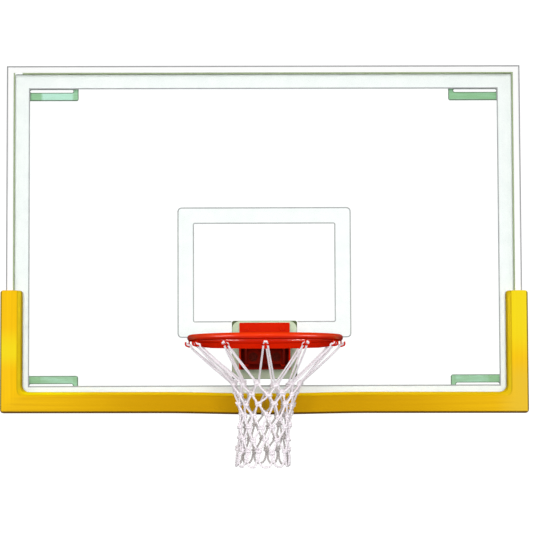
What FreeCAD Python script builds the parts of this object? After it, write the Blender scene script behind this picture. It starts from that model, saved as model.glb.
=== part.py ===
import FreeCAD, Part
import math
import os
from FreeCAD import Vector

# Glass basketball backboard with a breakaway rim, in millimetres.
# +X right, +Y to the rear, +Z up. The origin is the centre of the four
# corner slots, on the rear plane that bolts to the backstop.

# Board and frame
board_width = 1828.8
board_height = 1219.2
frame_depth = 44.0
rail_width = 24.5
rail_wall = 3.0
rail_edge_chamfer = 2.0
key_leg = 48.0
key_clearance = 0.15

# Glass, its gasket and the lines fired on its rear face
glass_thickness = 12.7
glass_edge_gap = 3.0
gasket_thickness = 2.0
bead_width = 5.0
bead_height = 1.5
line_width = 50.8
print_thickness = 0.3
target_width = 609.6
target_height = 457.2
target_above_bottom = 252.7
target_outer_radius = 11.0
target_inner_radius = 7.0
print_notch_gap = 1.0

# Corner brackets and their slots
bracket_thickness = 6.0
bracket_flange_depth = 20.0
bracket_corner_radius = 8.0
slot_from_side = 153.2
slot_from_end = 81.0
slot_length = 156.0
slot_width = 11.0
slot_end_margin = 17.9
slot_edge_margin = 29.2
screw_radius = 3.0
screw_length = 12.0
screw_head_flats = 10.0
screw_head_height = 3.2
screw_hole_gap = 0.1
screw_side_margin = 48.0
screw_end_margin = 24.0

# Edge pads
pad_top_above_bottom = 418.0
pad_front_thickness = 22.0
pad_edge_thickness = 14.0
pad_rear_thickness = 16.0
pad_front_cover = 60.0
pad_inner_radius = 21.0
pad_inner_chamfer = 13.0
pad_outer_round = 7.0
pad_clearance = 0.3
pad_seam = 0.6

# Hoop
ring_inner_diameter = 457.2
ring_rod_diameter = 20.0
ring_from_glass = 381.0
ring_above_bottom = 234.0
brace_height = 17.9
brace_end_height = 5.9
brace_thickness = 5.1
brace_inset = 0.6
brace_arc = 190.0
brace_taper_from = 50.0
weld_gap = 0.25

# Rim housing, on the front of the glass
rim_gasket_thickness = 3.0
housing_side_gap = 11.0
housing_floor_gap = 13.0
housing_above_ring = 67.0
housing_plate = 8.0
housing_wall = 6.0
housing_reach = 88.0
housing_corner_radius = 4.0
cheek_above_hinge = 34.0

# Plate and pad behind the glass
backing_width = 232.0
backing_height = 207.0
backing_drop = 12.5
backing_thickness = 8.0
backing_corner_radius = 8.0
backing_pad_thickness = 4.0
backing_pad_margin = 1.5
backing_pad_radius = 27.0

# Rim bolts
bolt_below_ring = 16.0
bolt_spacing_x = 127.0
bolt_spacing_z = 127.0
bolt_radius = 5.0
bolt_hole_gap = 0.25
bolt_head_flats = 16.0
bolt_head_height = 6.4
bolt_head_gap = 3.5
bolt_tail = 4.0
bushing_radius = 11.0
bushing_gap = 0.05
washer_radius = 12.0
washer_thickness = 2.0
nut_height = 8.0

# Hinge
hinge_from_plate = 50.0
hinge_below_ring = 5.0
pin_radius = 8.0
pin_running_gap = 0.03
pin_seat_gap = 0.05
pin_head_radius = 12.0
pin_head_height = 5.0
pin_washer_radius = 13.0
pin_washer_thickness = 2.0
pin_tail = 9.0
clip_thickness = 1.5
clip_depth = 1.0
clip_radius = 12.0
bush_radius = 11.0
bush_length = 20.0
bush_flange_radius = 15.0
bush_end_gap = 0.3
hinge_tube_radius = 14.0
tilt_limit = 30.0

# Ring carrier
carrier_side_gap = 7.0
top_plate_thickness = 6.0
wing_half_width = 135.0
wing_start_gap = 14.0
wing_run = 48.0
lever_end_margin = 11.6
lever_thickness = 8.0
lever_set_forward = 4.0
gusset_thickness = 6.0
gusset_from_edge = 4.0
gusset_washer_gap = 6.0
gusset_foot = 14.0

# Return springs
spring_spacing = 80.0
spring_below_hinge = 50.0
rod_radius = 6.0
rod_hole_gap = 1.0
rod_thread_gap = 0.05
rod_tail = 6.0
seat_radius = 17.0
seat_thickness = 3.0
spring_radius = 12.5
spring_wire_radius = 1.75
spring_turns = 4
spring_end_gap = 0.15
stop_washer_radius = 16.0
stop_washer_thickness = 3.0
stop_gap = 0.3
adjuster_flats = 19.0
adjuster_height = 10.0

# Net and its hooks
hook_count = 12
hook_height = 20.0
hook_bar = 4.0
hook_thickness = 5.0
hook_mouth = 6.5
hook_cup_gap = 1.25
cord_diameter = 5.0
cord_gap = 0.4
cord_below_brace = 2.0
cord_sides = 6
net_radii = [97.0, 86.0, 80.0, 76.0, 74.0, 73.0, 75.0]
net_drops = [152.0, 183.0, 212.0, 243.0, 275.0, 311.0, 347.0]
net_bottom_radius = 79.0
net_bottom_drop = 400.0

# Depths along Y that follow from the stack of parts
half_width = board_width / 2
half_height = board_height / 2
frame_front = -frame_depth
lip_back = frame_front + rail_wall
glass_front = lip_back + gasket_thickness
glass_back = glass_front + glass_thickness
seat_front = glass_back + gasket_thickness
glass_inset = rail_wall + glass_edge_gap
bracket_reach_x = slot_from_side + slot_length / 2 + slot_end_margin
bracket_reach_z = slot_from_end + slot_width / 2 + slot_edge_margin
plate_back = glass_front - rim_gasket_thickness
plate_front = plate_back - housing_plate
backing_front = glass_back + backing_pad_thickness
backing_back = backing_front + backing_thickness
washer_back = backing_back + washer_thickness
nut_back = washer_back + nut_height

# Heights and centres that follow from the hoop
ring_y = glass_front - ring_from_glass
ring_z = -half_height + ring_above_bottom
rod_r = ring_rod_diameter / 2
ring_r = ring_inner_diameter / 2 + rod_r
bolt_z = ring_z - bolt_below_ring
backing_z = bolt_z - backing_drop
pin_y = plate_front - hinge_from_plate
pin_z = ring_z - hinge_below_ring
lever_back = pin_y - lever_set_forward
lever_front = lever_back - lever_thickness
spring_z = pin_z - spring_below_hinge

# The lever plate reaches below the rods' slots, and the carrier passes outside the stop washers
tilt = math.radians(tilt_limit)
slot_low = (spring_below_hinge - lever_set_forward * math.sin(tilt) + rod_radius) / math.cos(tilt)
lever_length = slot_low + rod_hole_gap + lever_end_margin
gusset_x = spring_spacing / 2 + stop_washer_radius + gusset_washer_gap
carrier_half_width = gusset_x + gusset_thickness + gusset_from_edge

# The housing clears the carrier and the bolt heads
bolt_head_x = (bolt_spacing_x + bolt_head_flats) / 2 + bolt_head_gap
bolt_head_z = (bolt_spacing_z + bolt_head_flats) / 2 + bolt_head_gap
cheek_inner = max(carrier_half_width + housing_side_gap, bolt_head_x)
cheek_outer = cheek_inner + housing_wall
floor_top = min(pin_z - lever_length - housing_floor_gap, bolt_z - bolt_head_z)
plate_bottom = floor_top - housing_wall
plate_top = max(ring_z + housing_above_ring, bolt_z + bolt_head_z)
plate_middle = (plate_top + plate_bottom) / 2
housing_width = 2 * cheek_outer
housing_height = plate_top - plate_bottom
housing_front = plate_front - housing_reach
tube_end = cheek_inner - carrier_side_gap

# The brace lies under the inner half of the rod, and the hooks hang outside the brace
brace_inner = ring_r - rod_r + brace_inset
brace_outer = brace_inner + brace_thickness
brace_bottom = ring_z - rod_r - brace_height
brace_end = ring_z - rod_r - brace_end_height
hook_inner = brace_outer + cord_diameter + 2 * cord_gap

# Each hook is two cups with a post between them
cup_inner = cord_diameter / 2 + hook_cup_gap
cup_outer = cup_inner + hook_bar
cup_x = cup_inner + hook_bar / 2
hook_half_width = cup_x + cup_outer

UP = Vector(0, 0, 1)


def box(x0, x1, y0, y1, z0, z1):
    return Part.makeBox(x1 - x0, y1 - y0, z1 - z0, Vector(x0, y0, z0))


def bar_x(y, z, x0, x1, radius):
    return Part.makeCylinder(radius, x1 - x0, Vector(x0, y, z), Vector(1, 0, 0))


def bar_y(x, z, y0, y1, radius):
    return Part.makeCylinder(radius, y1 - y0, Vector(x, y0, z), Vector(0, 1, 0))


def washer_y(x, z, y0, y1, outer, inner):
    return bar_y(x, z, y0, y1, outer).cut(bar_y(x, z, y0, y1, inner))


def prism(points, run):
    return Part.Face(Part.makePolygon(points + points[:1])).extrude(run)


def hexagon_y(x, z, y0, y1, flats):
    corner = flats / math.sqrt(3)
    turns = [math.radians(60 * i) for i in range(6)]
    points = [Vector(x + corner * math.cos(t), y0, z + corner * math.sin(t)) for t in turns]
    return prism(points, Vector(0, y1 - y0, 0))


def edges_along_y(shape):
    return [e for e in shape.Edges if abs(e.tangentAt(e.FirstParameter).y) > 0.999]


def rounded_plate(width, height, radius, y0, y1, z):
    plate = box(-width / 2, width / 2, y0, y1, z - height / 2, z + height / 2)
    return plate.makeFillet(radius, edges_along_y(plate))


def rectangle_band(inset0, inset1, y0, y1):
    outer = box(inset0 - half_width, half_width - inset0, y0, y1,
                inset0 - half_height, half_height - inset0)
    inner = box(inset1 - half_width, half_width - inset1, y0, y1,
                inset1 - half_height, half_height - inset1)
    return outer.cut(inner)


def fused(shapes):
    return shapes[0].multiFuse(shapes[1:]).removeSplitter()


def around_ring(shape, index):
    copy = shape.copy()
    copy.rotate(Vector(0, ring_y, 0), UP, index * 360 / hook_count)
    return copy


def save(name, shapes):
    shape = Part.makeCompound(shapes) if isinstance(shapes, list) else shapes
    shape.exportStep("parts/" + name + ".step")


# Frame

def frame_rail(length, reach, turn):
    # Drawn as the bottom rail: u runs inward from the outer edge, y to the rear.
    outline = [(0, frame_front + rail_edge_chamfer), (rail_edge_chamfer, frame_front),
               (rail_width, frame_front), (rail_width, lip_back), (rail_wall, lip_back),
               (rail_wall, seat_front), (rail_width, seat_front), (rail_width, 0), (0, 0)]
    hollow = [(rail_wall, seat_front + rail_wall), (rail_width - rail_wall, seat_front + rail_wall),
              (rail_width - rail_wall, -rail_wall), (rail_wall, -rail_wall)]
    run = Vector(length, 0, 0)
    solid, void = [prism([Vector(-length / 2, y, u - reach) for u, y in profile], run)
                   for profile in (outline, hollow)]
    depth = 2 * rail_width
    mitred = [Vector(-length / 2, -2 * frame_depth, -reach),
              Vector(length / 2, -2 * frame_depth, -reach),
              Vector(length / 2 - depth, -2 * frame_depth, depth - reach),
              Vector(depth - length / 2, -2 * frame_depth, depth - reach)]
    rail = solid.cut(void).common(prism(mitred, Vector(0, 3 * frame_depth, 0)))
    rail.rotate(Vector(0, 0, 0), Vector(0, 1, 0), turn)
    return rail


def corner_key(sx, sz):
    near = rail_wall + key_clearance
    far = rail_width - rail_wall - key_clearance
    y0 = seat_front + rail_wall + key_clearance
    y1 = -rail_wall - key_clearance
    legs = []
    for long_x, long_z in ((key_leg, far), (far, key_leg)):
        xs = sorted((sx * (half_width - near), sx * (half_width - long_x)))
        zs = sorted((sz * (half_height - near), sz * (half_height - long_z)))
        legs.append(box(xs[0], xs[1], y0, y1, zs[0], zs[1]))
    return fused(legs)


def bracket_screw_places(sx, sz):
    # Each place is the point where a screw crosses the rail's inner wall, with its direction.
    y = -(bracket_flange_depth + bracket_thickness) / 2
    wall_x = sx * (half_width - rail_width)
    wall_z = sz * (half_height - rail_width)
    places = []
    for from_side in (rail_width + screw_side_margin, bracket_reach_x - screw_end_margin):
        places.append((Vector(sx * (half_width - from_side), y, wall_z), Vector(0, 0, sz)))
    from_end = bracket_reach_z - screw_end_margin
    places.append((Vector(wall_x, y, sz * (half_height - from_end)), Vector(sx, 0, 0)))
    return places


def bracket_screw(place, way):
    seat = place - way * bracket_thickness
    shank = Part.makeCylinder(screw_radius, screw_length, seat, way)
    corner = screw_head_flats / math.sqrt(3)
    depth = Vector(0, 1, 0)
    across = way.cross(depth)
    turns = [math.radians(60 * i) for i in range(6)]
    points = [seat + across * (corner * math.cos(t)) + depth * (corner * math.sin(t)) for t in turns]
    return fused([shank, prism(points, way * -screw_head_height)])


def screw_hole(place, way):
    start = place - way * (bracket_thickness * 2)
    reach = bracket_thickness * 2 + rail_width - 2 * rail_wall
    return Part.makeCylinder(screw_radius + screw_hole_gap, reach, start, way)


def corner_bracket(sx, sz):
    # Drawn in the upper right corner: a slotted plate with two flanges bent forward along the rails.
    x0, x1 = half_width - bracket_reach_x, half_width - rail_width
    z0, z1 = half_height - bracket_reach_z, half_height - rail_width
    plate = box(x0, x1, -bracket_thickness, 0, z0, z1)
    corner = [e for e in edges_along_y(plate) if e.BoundBox.XMax < x0 + 1 and e.BoundBox.ZMax < z0 + 1]
    plate = plate.makeFillet(bracket_corner_radius, corner)
    top = box(x0, x1, -bracket_flange_depth, 0, z1 - bracket_thickness, z1)
    side = box(x1 - bracket_thickness, x1, -bracket_flange_depth, 0, z0, z1)
    slot_x, slot_z = half_width - slot_from_side, half_height - slot_from_end
    end, half_slot = (slot_length - slot_width) / 2, slot_width / 2
    y0, y1 = -2 * bracket_thickness, bracket_thickness
    slot = fused([box(slot_x - end, slot_x + end, y0, y1, slot_z - half_slot, slot_z + half_slot),
                  bar_y(slot_x - end, slot_z, y0, y1, half_slot),
                  bar_y(slot_x + end, slot_z, y0, y1, half_slot)])
    bracket = fused([plate, top, side]).cut(slot)
    holes = [screw_hole(*place) for place in bracket_screw_places(1, 1)]
    bracket = bracket.cut(Part.makeCompound(holes))
    if sx < 0:
        bracket = bracket.mirror(Vector(0, 0, 0), Vector(1, 0, 0))
    if sz < 0:
        bracket = bracket.mirror(Vector(0, 0, 0), UP)
    return bracket


CORNERS = {"top_left": (-1, 1), "top_right": (1, 1), "bottom_left": (-1, -1), "bottom_right": (1, -1)}
RAILS = {"bottom": (board_width, half_height, 0), "left": (board_height, half_width, 90),
         "top": (board_width, half_height, 180), "right": (board_height, half_width, 270)}


def make_frame():
    places = [place for signs in CORNERS.values() for place in bracket_screw_places(*signs)]
    holes = Part.makeCompound([screw_hole(*place) for place in places])
    for side, sizes in RAILS.items():
        save("frame_rail_" + side, frame_rail(*sizes).cut(holes))
    save("corner_keys", [corner_key(*signs) for signs in CORNERS.values()])
    for corner, signs in CORNERS.items():
        save("corner_bracket_" + corner, corner_bracket(*signs))
    save("bracket_screws", [bracket_screw(*place) for place in places])


# Glass

def bolt_places():
    return [(sx * bolt_spacing_x / 2, bolt_z + sz * bolt_spacing_z / 2) for sx in (-1, 1) for sz in (-1, 1)]


def bolt_holes(y0, y1, radius=bolt_radius + bolt_hole_gap):
    return Part.makeCompound([bar_y(x, z, y0, y1, radius) for x, z in bolt_places()])


def make_glass():
    glass = box(glass_inset - half_width, half_width - glass_inset, glass_front, glass_back,
                glass_inset - half_height, half_height - glass_inset)
    save("glass_panel", glass.cut(bolt_holes(glass_front, glass_back, bushing_radius + bushing_gap)))
    bore = bolt_radius + bolt_hole_gap
    save("glass_bushings", [washer_y(x, z, glass_front, glass_back, bushing_radius, bore)
                            for x, z in bolt_places()])
    bead_end = rail_width + bead_width
    save("glazing_gasket", fused([
        rectangle_band(rail_wall, bead_end, lip_back, glass_front),
        rectangle_band(rail_wall, glass_inset, glass_front, glass_back),
        rectangle_band(rail_wall, rail_width, glass_back, seat_front),
        rectangle_band(rail_width, bead_end, lip_back - bead_height, lip_back)]))

    print_back = glass_back + print_thickness
    save("border_print", rectangle_band(rail_width, rail_width + line_width, glass_back, print_back))
    target_z = -half_height + target_above_bottom + target_height / 2
    outer = rounded_plate(target_width, target_height,
                          target_outer_radius, glass_back, print_back, target_z)
    inner = rounded_plate(target_width - 2 * line_width, target_height - 2 * line_width,
                          target_inner_radius, glass_back, print_back, target_z)
    half_notch = backing_width / 2 + print_notch_gap
    notch = box(-half_notch, half_notch, glass_back, print_back,
                backing_z - backing_height / 2 - print_notch_gap,
                backing_z + backing_height / 2 + print_notch_gap)
    save("target_print", outer.cut(inner).cut(notch))


# Edge pads

def pad_outline(inward, outer, y):
    # The L of the left pad seen from the front: up the side, and along the bottom to the seam.
    left, bottom = -half_width - outer, -half_height - outer
    inner_x, inner_z = inward - half_width, inward - half_height
    top, seam = pad_top_above_bottom - half_height, -pad_seam / 2
    radius = pad_inner_radius
    turn = radius * (1 - math.sqrt(0.5))
    corners = [Vector(inner_x, y, inner_z + radius), Vector(inner_x, y, top), Vector(left, y, top),
               Vector(left, y, bottom), Vector(seam, y, bottom), Vector(seam, y, inner_z),
               Vector(inner_x + radius, y, inner_z)]
    edges = [Part.LineSegment(a, b).toShape() for a, b in zip(corners, corners[1:])]
    middle = Vector(inner_x + turn, y, inner_z + turn)
    edges.append(Part.Arc(corners[-1], middle, corners[0]).toShape())
    return Part.Face(Part.Wire(edges))


def left_pad():
    outer = pad_edge_thickness + pad_clearance
    front0 = frame_front - pad_clearance - pad_front_thickness
    front1 = frame_front - pad_clearance
    rear0, rear1 = pad_clearance, pad_clearance + pad_rear_thickness
    front = pad_outline(pad_front_cover, outer, front0).extrude(Vector(0, pad_front_thickness, 0))
    on_face = [e for e in front.Edges if e.BoundBox.YMax < front0 + 1e-6]
    inner = [e for e in on_face if -half_width < e.CenterOfMass.x < -pad_seam
             and -half_height < e.CenterOfMass.z < pad_top_above_bottom - half_height - pad_inner_radius]
    front = front.makeChamfer(pad_inner_chamfer, inner)
    rounded = [e for e in front.Edges if e.BoundBox.YMax < front0 + 1e-6
               and (e.BoundBox.XMax < -half_width or e.BoundBox.ZMax < -half_height)]
    front = front.makeFillet(pad_outer_round, rounded)
    rear = pad_outline(rail_width, outer, rear0).extrude(Vector(0, pad_rear_thickness, 0))
    wall = pad_outline(rail_width, outer, front1).extrude(Vector(0, rear0 - front1, 0))
    inside = box(-half_width - pad_clearance, 0, front1, rear0, -half_height - pad_clearance, half_height)
    return fused([front, wall.cut(inside), rear])


def make_pads():
    pad = left_pad()
    save("edge_pad_left", pad)
    save("edge_pad_right", pad.mirror(Vector(0, 0, 0), Vector(1, 0, 0)))


# Rim mounting

def make_rim_mounting():
    pad = rounded_plate(backing_width - 2 * backing_pad_margin, backing_height - 2 * backing_pad_margin,
                        backing_pad_radius, glass_back, backing_front, backing_z)
    save("backing_pad", pad.cut(bolt_holes(glass_back, backing_front)))
    plate = rounded_plate(backing_width, backing_height, backing_corner_radius,
                          backing_front, backing_back, backing_z)
    save("backing_plate", plate.cut(bolt_holes(backing_front, backing_back)))
    gasket = rounded_plate(housing_width, housing_height, housing_corner_radius,
                           plate_back, glass_front, plate_middle)
    save("rim_gasket", gasket.cut(bolt_holes(plate_back, glass_front)))
    bolts, washers, nuts = [], [], []
    for x, z in bolt_places():
        head = hexagon_y(x, z, plate_front - bolt_head_height, plate_front, bolt_head_flats)
        bolts.append(fused([head, bar_y(x, z, plate_front, nut_back + bolt_tail, bolt_radius)]))
        hole = bolt_radius + bushing_gap
        clear = bolt_radius + bolt_hole_gap
        washers.append(washer_y(x, z, backing_back, washer_back, washer_radius, clear))
        nut = hexagon_y(x, z, washer_back, nut_back, bolt_head_flats)
        nuts.append(nut.cut(bar_y(x, z, washer_back, nut_back, hole)))
    save("rim_bolts", bolts)
    save("rim_washers", washers)
    save("rim_nuts", nuts)


def housing_cheek(x0):
    # A side plate with a sloping top that carries the hinge pin near its front.
    top = pin_z + cheek_above_hinge
    nose = pin_z + hinge_tube_radius
    edge = 2 * housing_wall
    outline = [(plate_front, plate_bottom), (housing_front + edge, plate_bottom),
               (housing_front, plate_bottom + edge), (housing_front, nose - edge),
               (housing_front + edge, nose), (plate_front - edge, top), (plate_front, top)]
    cheek = prism([Vector(x0, y, z) for y, z in outline], Vector(housing_wall, 0, 0))
    return cheek.cut(bar_x(pin_y, pin_z, x0, x0 + housing_wall, pin_radius + pin_seat_gap))


def make_housing():
    plate = rounded_plate(housing_width, housing_height, housing_corner_radius,
                          plate_front, plate_back, plate_middle)
    floor = box(-cheek_inner, cheek_inner, housing_front + 2 * housing_wall, plate_front,
                plate_bottom, floor_top)
    housing = fused([plate, housing_cheek(-cheek_outer), housing_cheek(cheek_inner), floor])
    save("rim_housing", housing.cut(bolt_holes(plate_front, plate_back)))


# Hinge

def make_hinge():
    washer_end = cheek_outer + pin_washer_thickness
    groove_end = washer_end + clip_thickness
    pin = fused([bar_x(pin_y, pin_z, -cheek_outer, cheek_outer + pin_tail, pin_radius),
                 bar_x(pin_y, pin_z, -cheek_outer - pin_head_height, -cheek_outer, pin_head_radius)])
    groove = bar_x(pin_y, pin_z, washer_end, groove_end, pin_radius).cut(
        bar_x(pin_y, pin_z, washer_end, groove_end, pin_radius - clip_depth))
    save("hinge_pin", pin.cut(groove))
    washer = bar_x(pin_y, pin_z, cheek_outer, washer_end, pin_washer_radius)
    save("pin_washer", washer.cut(bar_x(pin_y, pin_z, cheek_outer, washer_end, pin_radius + pin_seat_gap)))
    clip = bar_x(pin_y, pin_z, washer_end, groove_end, clip_radius)
    clip = clip.cut(bar_x(pin_y, pin_z, washer_end, groove_end, pin_radius - clip_depth + pin_seat_gap))
    mouth = box(washer_end, groove_end, pin_y - clip_radius, pin_y,
                pin_z - pin_radius / 2, pin_z + pin_radius / 2)
    save("retaining_ring", clip.cut(mouth))
    sleeve = bar_x(pin_y, pin_z, tube_end - bush_length, tube_end, bush_radius)
    flange = bar_x(pin_y, pin_z, tube_end, cheek_inner - bush_end_gap, bush_flange_radius)
    bore = bar_x(pin_y, pin_z, tube_end - bush_length, cheek_inner, pin_radius + pin_running_gap)
    bush = fused([sleeve, flange]).cut(bore)
    save("pivot_bushes", [bush, bush.mirror(Vector(0, 0, 0), Vector(1, 0, 0))])


# Return springs

def lever_slot_reach():
    # Where the level rod crosses the tilting lever plate, measured down the plate from the hinge:
    # highest on its front face early in the tilt, lowest on its rear face at the limit.
    front = lever_set_forward + lever_thickness
    lean = math.asin(front / spring_below_hinge)
    highest = (spring_below_hinge - front * math.sin(lean) - rod_radius) / math.cos(lean)
    return highest - rod_hole_gap, slot_low + rod_hole_gap


def arc_between(start, corner, end):
    # The arc from start to end that is tangent to the lines to their common corner.
    chord_middle = (start + end) * 0.5
    rise = corner - chord_middle
    half_chord = (end - start).Length / 2
    sag = half_chord * math.tan(math.atan2(rise.Length, half_chord) / 2)
    return Part.Arc(start, chord_middle + rise * (sag / rise.Length), end).toShape()


def biarc(p0, t0, p1, t1):
    span, tangents = p1 - p0, t0 + t1
    bend = 2 * (1 - t0.dot(t1))
    along = span.dot(tangents)
    reach = (math.sqrt(along * along + bend * span.dot(span)) - along) / bend
    corner0, corner1 = p0 + t0 * reach, p1 - t1 * reach
    joint = (corner0 + corner1) * 0.5
    return [arc_between(p0, corner0, joint), arc_between(joint, corner1, p1)]


def return_spring(x):
    first = plate_front - seat_thickness - spring_end_gap - spring_wire_radius
    last = lever_back + spring_end_gap + spring_wire_radius
    rise = (last - first) / (2 * math.pi * spring_turns)

    def point(turn):
        return Vector(x + spring_radius * math.cos(turn), first + rise * turn,
                      spring_z + spring_radius * math.sin(turn))

    def tangent(turn):
        way = Vector(-spring_radius * math.sin(turn), rise, spring_radius * math.cos(turn))
        return way.normalize()

    halves = [i * math.pi for i in range(2 * spring_turns + 1)]
    edges = []
    for a, b in zip(halves, halves[1:]):
        edges += biarc(point(a), tangent(a), point(b), tangent(b))
    wire = Part.Wire(Part.makeCircle(spring_wire_radius, point(0), tangent(0)))
    shell = Part.BRepOffsetAPI.MakePipeShell(Part.Wire(edges))
    shell.add(wire)
    shell.build()
    shell.makeSolid()
    turns = [i * math.pi / 12 for i in range(24 * spring_turns + 1)]
    gap = min((point(a) - point(b)).Length for a in turns for b in turns if b - a > math.pi)
    print("spring least gap between turns %.2f mm" % (gap - 2 * spring_wire_radius))
    return shell.shape()


def make_springs():
    rods, seats, washers, nuts = [], [], [], []
    washer_back_y = lever_front - stop_gap
    washer_front = washer_back_y - stop_washer_thickness
    nut_front = washer_front - adjuster_height
    hole = rod_radius + rod_thread_gap
    for side, x in (("left", -spring_spacing / 2), ("right", spring_spacing / 2)):
        rods.append(bar_y(x, spring_z, nut_front - rod_tail, plate_front, rod_radius))
        seats.append(washer_y(x, spring_z, plate_front - seat_thickness, plate_front, seat_radius, hole))
        washers.append(washer_y(x, spring_z, washer_front, washer_back_y, stop_washer_radius, hole))
        nut = hexagon_y(x, spring_z, nut_front, washer_front, adjuster_flats)
        nuts.append(nut.cut(bar_y(x, spring_z, nut_front, washer_front, hole)))
        save("spring_" + side, return_spring(x))
    save("spring_rods", rods)
    save("spring_seats", seats)
    save("stop_washers", washers)
    save("adjusting_nuts", nuts)


# Rim

def rod_clear_zone():
    return Part.makeTorus(ring_r, rod_r + weld_gap, Vector(0, ring_y, ring_z), UP)


def brace_clear_zone():
    radius = brace_outer + weld_gap
    return Part.makeCylinder(radius, 2 * board_height, Vector(0, ring_y, -board_height), UP)


def ring_carrier():
    tube = bar_x(pin_y, pin_z, -tube_end, tube_end, hinge_tube_radius)
    wing_start = housing_front - wing_start_gap
    wing_end = wing_start - wing_run
    half = carrier_half_width
    outline = [(-half, pin_y), (half, pin_y), (half, wing_start), (wing_half_width, wing_end),
               (wing_half_width, ring_y), (-wing_half_width, ring_y), (-wing_half_width, wing_end),
               (-half, wing_start)]
    plate_z = ring_z - top_plate_thickness / 2
    top = prism([Vector(x, y, plate_z) for x, y in outline], Vector(0, 0, top_plate_thickness))
    lever = box(-half, half, lever_front, lever_back, pin_z - lever_length, pin_z)
    slot_top, slot_bottom = lever_slot_reach()
    half_slot = rod_radius + rod_hole_gap
    for x in (-spring_spacing / 2, spring_spacing / 2):
        lever = lever.cut(box(x - half_slot, x + half_slot, lever_front, lever_back,
                              pin_z - slot_bottom, pin_z - slot_top))
    foot = pin_z - lever_length
    reach = ring_y + brace_inner
    gusset = [(lever_back, ring_z), (lever_back, foot), (lever_front - gusset_foot, foot),
              (ring_y + ring_r, brace_bottom), (reach, brace_bottom), (reach, ring_z)]
    gussets = [prism([Vector(x, y, z) for y, z in gusset], Vector(gusset_thickness, 0, 0))
               for x in (gusset_x, -gusset_x - gusset_thickness)]
    bore = bar_x(pin_y, pin_z, -tube_end, tube_end, bush_radius + bushing_gap)
    carrier = fused([tube, top, lever] + gussets)
    return carrier.cut(rod_clear_zone()).cut(brace_clear_zone()).cut(bore)


def ring_brace():
    # A flat bar under the inner half of the rod, bent round the rear of the hoop, with tapered ends.
    start = math.radians(90 - brace_arc / 2)
    way = Vector(math.cos(start), math.sin(start), 0)
    centre = Vector(0, ring_y, 0)
    section = ((brace_inner, brace_bottom), (brace_outer, brace_bottom),
               (brace_outer, ring_z), (brace_inner, ring_z))
    corners = [centre + way * r + UP * z for r, z in section]
    bar = Part.Face(Part.makePolygon(corners + corners[:1])).revolve(centre, UP, brace_arc)
    taper_y = ring_y + brace_outer * math.cos(math.radians(brace_taper_from))
    end_y = ring_y + brace_outer * math.cos(math.radians(brace_arc / 2))
    below, beyond = brace_bottom - rod_r, end_y - rod_r
    outline = [(taper_y, brace_bottom), (end_y, brace_end), (beyond, brace_end), (beyond, below),
               (taper_y, below)]
    wedge = prism([Vector(-2 * ring_r, y, z) for y, z in outline], Vector(4 * ring_r, 0, 0))
    return bar.cut(rod_clear_zone()).cut(wedge)


def net_hook():
    # A post under the rod with an open cup on each side, drawn at the front of the hoop.
    # The cord lies in both cups and crosses the front of the post.
    y1 = ring_y - hook_inner
    y0 = y1 - hook_thickness
    top = ring_z - rod_r
    cup_z = top - hook_height + cup_outer
    body = [box(-hook_half_width, hook_half_width, y0, y1, cup_z, ring_z)]
    slots = []
    for x in (-cup_x, cup_x):
        body.append(bar_y(x, cup_z, y0, y1, cup_outer))
        slots.append(bar_y(x, cup_z, y0, y1, cup_inner))
        slots.append(box(x - cup_inner, x + cup_inner, y0, y1, cup_z, ring_z))
    for x0, x1 in ((-hook_half_width, -cup_x), (cup_x, hook_half_width)):
        slots.append(box(x0, x1, y0, y1, top - hook_mouth, ring_z))
    return fused(body).cut(fused(slots)).cut(rod_clear_zone())


def net_path():
    # Right half of one looped cord: across the hook's post, back through a cup, down behind the brace,
    # then zigzag to the bottom loop.
    cord_r = cord_diameter / 2
    bight = hook_inner + hook_thickness + cord_gap + cord_r
    inside = hook_inner - cord_gap - cord_r
    cup_drop = rod_r + hook_height - hook_bar - cord_gap - cord_r
    low_drop = max(cup_drop, rod_r + brace_height) + cord_below_brace
    step = math.pi / hook_count

    def at(radius, x, drop):
        return Vector(x, ring_y - math.sqrt(radius * radius - x * x), ring_z - drop)

    def knot(radius, drop, outer):
        away = cord_r + cord_gap / 2
        turn = step - away / radius if outer else away / radius
        return Vector(radius * math.sin(turn), ring_y - radius * math.cos(turn), ring_z - drop)

    points = [at(bight, 0, cup_drop), at(bight, cup_x, cup_drop), at(inside, cup_x, cup_drop),
              at(inside, cup_x, low_drop)]
    for row, (radius, drop) in enumerate(zip(net_radii, net_drops)):
        points.append(knot(radius, drop, row % 2 == 0))
    last = net_drops[-1]
    for share, turn in ((0.45, 0.86), (0.8, 0.62), (0.96, 0.3), (1.0, 0.0)):
        radius = net_bottom_radius
        drop = last + share * (net_bottom_drop - last)
        angle = turn * step
        points.append(Vector(radius * math.sin(angle), ring_y - radius * math.cos(angle), ring_z - drop))
    return points


def cord_along(points, end_normal):
    # Flat-sided cord whose sections lie in the mitre planes of the route.
    ways = [(b - a).normalize() for a, b in zip(points, points[1:])]
    normals = [end_normal] + [a + b for a, b in zip(ways, ways[1:])] + [end_normal]
    across = ways[0].cross(UP).normalize()
    over = ways[0].cross(across)
    turns = [2 * math.pi * (i + 0.5) / cord_sides for i in range(cord_sides)]
    radius = cord_diameter / 2
    section = [points[0] + across * (radius * math.cos(t)) + over * (radius * math.sin(t)) for t in turns]
    way_in = [ways[0]] + ways
    sections = []
    for point, normal, way in zip(points, normals, way_in):
        section = [corner + way * ((point - corner).dot(normal) / way.dot(normal)) for corner in section]
        sections.append(section + section[:1])
    faces = [Part.Face(Part.makePolygon(ring)) for ring in (sections[0], sections[-1])]
    for ring0, ring1 in zip(sections, sections[1:]):
        for i in range(cord_sides):
            corners = [ring0[i], ring0[i + 1], ring1[i + 1], ring1[i], ring0[i]]
            faces.append(Part.Face(Part.makePolygon(corners)))
    cord = Part.Solid(Part.Shell(faces))
    return cord if cord.Volume > 0 else cord.reversed()


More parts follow.
